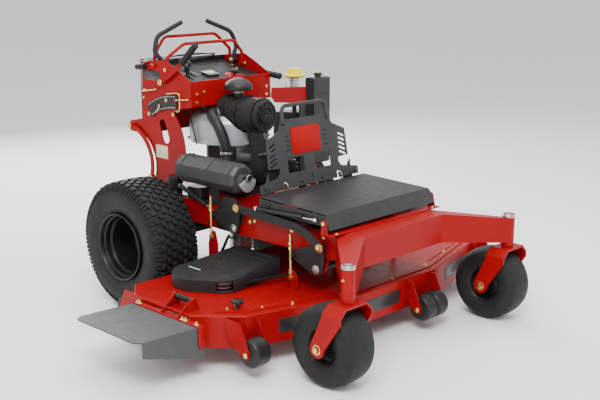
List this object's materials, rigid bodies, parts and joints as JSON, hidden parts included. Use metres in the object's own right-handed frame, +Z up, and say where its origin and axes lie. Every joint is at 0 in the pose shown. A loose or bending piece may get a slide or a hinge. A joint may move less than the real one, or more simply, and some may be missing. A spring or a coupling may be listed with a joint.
{
  "type": "stand-on zero-turn mower",
  "caption": "Stand-on zero-turn mower with a wide side-discharge deck, rear drive wheels, front casters, engine behind a guard and a standing operator's console.",
  "frame": {"origin": "ground point below the middle of the whole machine, deflector down and platform down", "axes": "+X to the machine's left, +Y to the rear, +Z up"},
  "size_m": [2.15, 2.055, 1.3073],
  "materials": {
    "red_paint": "gloss",
    "lever_paint": "gloss",
    "black_coat": "satin powder coat",
    "rim_black": "satin",
    "engine_black": "satin",
    "shroud_silver": "satin",
    "black_plastic": "textured",
    "yellow_cap": "gloss",
    "tyre_rubber": "matte",
    "roller_rubber": "satin",
    "deflector_rubber": "satin",
    "lever_coat": "matte",
    "cushion_vinyl": "satin vinyl",
    "zinc_gold": "yellow zinc",
    "bare_steel": "machined",
    "cast": "as cast"
  },
  "bodies": {
    "chassis": {"main_frame": "red_paint", "front_beam": "red_paint", "tower_shell": "red_paint", "shin_guard_bars": "red_paint", "console_tray": "black_coat", "console_hoops": "red_paint", "thigh_cushion": "cushion_vinyl", "height_quadrant": "black_coat", "muffler": "black_coat", "engine_block": "engine_black", "blower_housing": "shroud_silver", "air_cleaner": "black_plastic", "precleaner": "black_plastic", "intake_hose": "roller_rubber", "engine_guard": "black_coat", "fuel_tank": "black_plastic", "hydraulic_filler_neck": "shroud_silver", "hydro_pumps": "bare_steel", "wheel_motors": "bare_steel", "battery": "black_plastic", "frame_bolts": "zinc_gold"},
    "hood": {"hood": "black_coat"},
    "fuel_cap": {"fuel_cap": "black_plastic"},
    "filler_cap": {"hydraulic_filler_cap": "yellow_cap"},
    "steering_right": {"steering_lever_right": "lever_coat"},
    "steering_left": {"steering_lever_left": "lever_coat"},
    "height_lever": {"height_lever": "lever_paint"},
    "brake_lever": {"parking_brake_lever": "lever_paint"},
    "throttle": {"throttle_lever": "black_plastic"},
    "choke": {"choke_lever": "black_plastic"},
    "pto_knob": {"pto_knob": "black_plastic"},
    "platform": {"operator_platform": "black_coat"},
    "drive_wheel_right": {"drive_tyre_right": "tyre_rubber", "drive_rim_right": "rim_black"},
    "drive_wheel_left": {"drive_tyre_left": "tyre_rubber", "drive_rim_left": "rim_black"},
    "caster_right": {"caster_fork_right": "red_paint"},
    "caster_left": {"caster_fork_left": "red_paint"},
    "caster_wheel_right": {"caster_tyre_right": "tyre_rubber", "caster_hub_right": "rim_black"},
    "caster_wheel_left": {"caster_tyre_left": "tyre_rubber", "caster_hub_left": "rim_black"},
    "deck": {"deck_shell": "red_paint", "spindle_housings": "cast", "belt_covers": "black_plastic", "deck_belt": "roller_rubber", "lift_adjusting_rods": "zinc_gold"},
    "spindle_right": {"cutter_spindle_right": "bare_steel"},
    "spindle_centre": {"cutter_spindle_centre": "bare_steel"},
    "spindle_left": {"cutter_spindle_left": "bare_steel"},
    "engine_pulley": {"engine_pulley": "bare_steel"},
    "roller_front_right": {"scalp_roller_front_right": "roller_rubber"},
    "roller_front_left": {"scalp_roller_front_left": "roller_rubber"},
    "roller_front_centre": {"scalp_roller_front_centre": "roller_rubber"},
    "roller_rear_right": {"scalp_roller_rear_right": "roller_rubber"},
    "deflector": {"discharge_deflector": "deflector_rubber", "deflector_bracket": "red_paint"},
    "front_shaft": {"front_lift_shaft": "black_coat"},
    "rear_shaft": {"rear_lift_shaft": "black_coat"},
    "links": {"lift_links": "black_coat"}
  },
  "joints": [
    {"name": "deck_lift", "type": "slide", "parent": "chassis", "child": "deck", "axis": [0, 0, 1], "range_m": [-0.04, 0.03]},
    {"name": "front_shaft_turn", "type": "hinge", "parent": "chassis", "child": "front_shaft", "pos_m": [0.077, -0.5725, 0.346], "axis": [1, 0, 0], "range_deg": [-17.6, 13.2]},
    {"name": "rear_shaft_turn", "type": "hinge", "parent": "chassis", "child": "rear_shaft", "pos_m": [0.077, -0.0675, 0.428], "axis": [1, 0, 0], "range_deg": [-17.6, 13.2]},
    {"name": "link_swing", "type": "hinge", "parent": "rear_shaft", "child": "links", "pos_m": [0.077, -0.0975, 0.528], "axis": [1, 0, 0], "range_deg": [-13.2, 17.6]},
    {"name": "height_lever_pull", "type": "hinge", "parent": "chassis", "child": "height_lever", "pos_m": [-0.196, 0.4895, 1.028], "axis": [1, 0, 0], "range_deg": [-18, 24]},
    {"name": "hood_open", "type": "hinge", "parent": "chassis", "child": "hood", "pos_m": [0.077, -0.6425, 0.562], "axis": [1, 0, 0], "range_deg": [0, 70]},
    {"name": "platform_fold", "type": "hinge", "parent": "chassis", "child": "platform", "pos_m": [0.077, 0.6755, 0.215], "axis": [1, 0, 0], "range_deg": [0, 86]},
    {"name": "deflector_lift", "type": "hinge", "parent": "deck", "child": "deflector", "pos_m": [-0.723, -0.2705, 0.272], "axis": [0, 1, 0], "range_deg": [0, 100]},
    {"name": "steering_right_push", "type": "hinge", "parent": "chassis", "child": "steering_right", "pos_m": [-0.153, 0.5295, 1.096], "axis": [1, 0, 0], "range_deg": [-8, 14], "stiffness_Nm_per_rad": 6},
    {"name": "steering_left_push", "type": "hinge", "parent": "chassis", "child": "steering_left", "pos_m": [0.307, 0.5295, 1.096], "axis": [1, 0, 0], "range_deg": [-8, 14], "stiffness_Nm_per_rad": 6},
    {"name": "parking_brake_pull", "type": "hinge", "parent": "chassis", "child": "brake_lever", "pos_m": [0.35, 0.4925, 1.108], "axis": [-1, 0, 0], "range_deg": [0, 38]},
    {"name": "throttle_move", "type": "hinge", "parent": "chassis", "child": "throttle", "pos_m": [-0.041, 0.4695, 1.03715], "axis": [1, 0, 0], "range_deg": [-24, 24]},
    {"name": "choke_move", "type": "hinge", "parent": "chassis", "child": "choke", "pos_m": [-0.088, 0.4275, 1.0279], "axis": [1, 0, 0], "range_deg": [-24, 24]},
    {"name": "pto_pull", "type": "slide", "parent": "chassis", "child": "pto_knob", "axis": [0, -0.215, 0.9766], "range_m": [0, 0.012]},
    {"name": "fuel_cap_turn", "type": "hinge", "parent": "chassis", "child": "fuel_cap", "pos_m": [0.405, 0.0365, 1.055], "axis": [0, 0, 1], "range_deg": [0, 90]},
    {"name": "filler_cap_turn", "type": "hinge", "parent": "chassis", "child": "filler_cap", "pos_m": [0.277, 0.0695, 1.07], "axis": [0, 0, 1], "range_deg": [0, 90]},
    {"name": "drive_right_roll", "type": "hinge", "parent": "chassis", "child": "drive_wheel_right", "pos_m": [-0.41, 0.4075, 0.304], "axis": [1, 0, 0], "continuous": true},
    {"name": "caster_right_swivel", "type": "hinge", "parent": "chassis", "child": "caster_right", "pos_m": [-0.46, -0.9375, 0.4], "axis": [0, 0, 1], "continuous": true},
    {"name": "caster_right_roll", "type": "hinge", "parent": "caster_right", "child": "caster_wheel_right", "pos_m": [-0.46, -0.8645, 0.163], "axis": [1, 0, 0], "continuous": true},
    {"name": "drive_left_roll", "type": "hinge", "parent": "chassis", "child": "drive_wheel_left", "pos_m": [0.564, 0.4075, 0.304], "axis": [1, 0, 0], "continuous": true},
    {"name": "caster_left_swivel", "type": "hinge", "parent": "chassis", "child": "caster_left", "pos_m": [0.614, -0.9375, 0.4], "axis": [0, 0, 1], "continuous": true},
    {"name": "caster_left_roll", "type": "hinge", "parent": "caster_left", "child": "caster_wheel_left", "pos_m": [0.614, -0.8645, 0.163], "axis": [1, 0, 0], "continuous": true},
    {"name": "engine_pulley_spin", "type": "hinge", "parent": "chassis", "child": "engine_pulley", "pos_m": [0.077, 0.2375, 0.3], "axis": [0, 0, 1], "continuous": true},
    {"name": "spindle_right_spin", "type": "hinge", "parent": "deck", "child": "spindle_right", "pos_m": [-0.4575, -0.2255, 0.15], "axis": [0, 0, 1], "continuous": true},
    {"name": "spindle_centre_spin", "type": "hinge", "parent": "deck", "child": "spindle_centre", "pos_m": [0.152, -0.3825, 0.15], "axis": [0, 0, 1], "continuous": true},
    {"name": "spindle_left_spin", "type": "hinge", "parent": "deck", "child": "spindle_left", "pos_m": [0.7615, -0.2255, 0.15], "axis": [0, 0, 1], "continuous": true},
    {"name": "roller_front_right_roll", "type": "hinge", "parent": "deck", "child": "roller_front_right", "pos_m": [-0.635, -0.6145, 0.107], "axis": [1, 0, 0], "continuous": true},
    {"name": "roller_front_left_roll", "type": "hinge", "parent": "deck", "child": "roller_front_left", "pos_m": [0.935, -0.6145, 0.107], "axis": [1, 0, 0], "continuous": true},
    {"name": "roller_front_centre_roll", "type": "hinge", "parent": "deck", "child": "roller_front_centre", "pos_m": [0.277, -0.7665, 0.107], "axis": [1, 0, 0], "continuous": true},
    {"name": "roller_rear_right_roll", "type": "hinge", "parent": "deck", "child": "roller_rear_right", "pos_m": [-0.661, 0.1575, 0.107], "axis": [1, 0, 0], "continuous": true}
  ],
  "couplings": [
    {"joint": "front_shaft_turn", "follows": "deck_lift", "rad_per_m": 7.5188},
    {"joint": "rear_shaft_turn", "follows": "deck_lift", "rad_per_m": 7.5188},
    {"joint": "link_swing", "follows": "deck_lift", "rad_per_m": -7.5188},
    {"joint": "height_lever_pull", "follows": "deck_lift", "rad_per_m": -10},
    {"joint": "spindle_left_spin", "follows": "spindle_centre_spin", "ratio": 1},
    {"joint": "spindle_right_spin", "follows": "spindle_centre_spin", "ratio": 1},
    {"joint": "engine_pulley_spin", "follows": "spindle_centre_spin", "ratio": 0.86667}
  ]
}
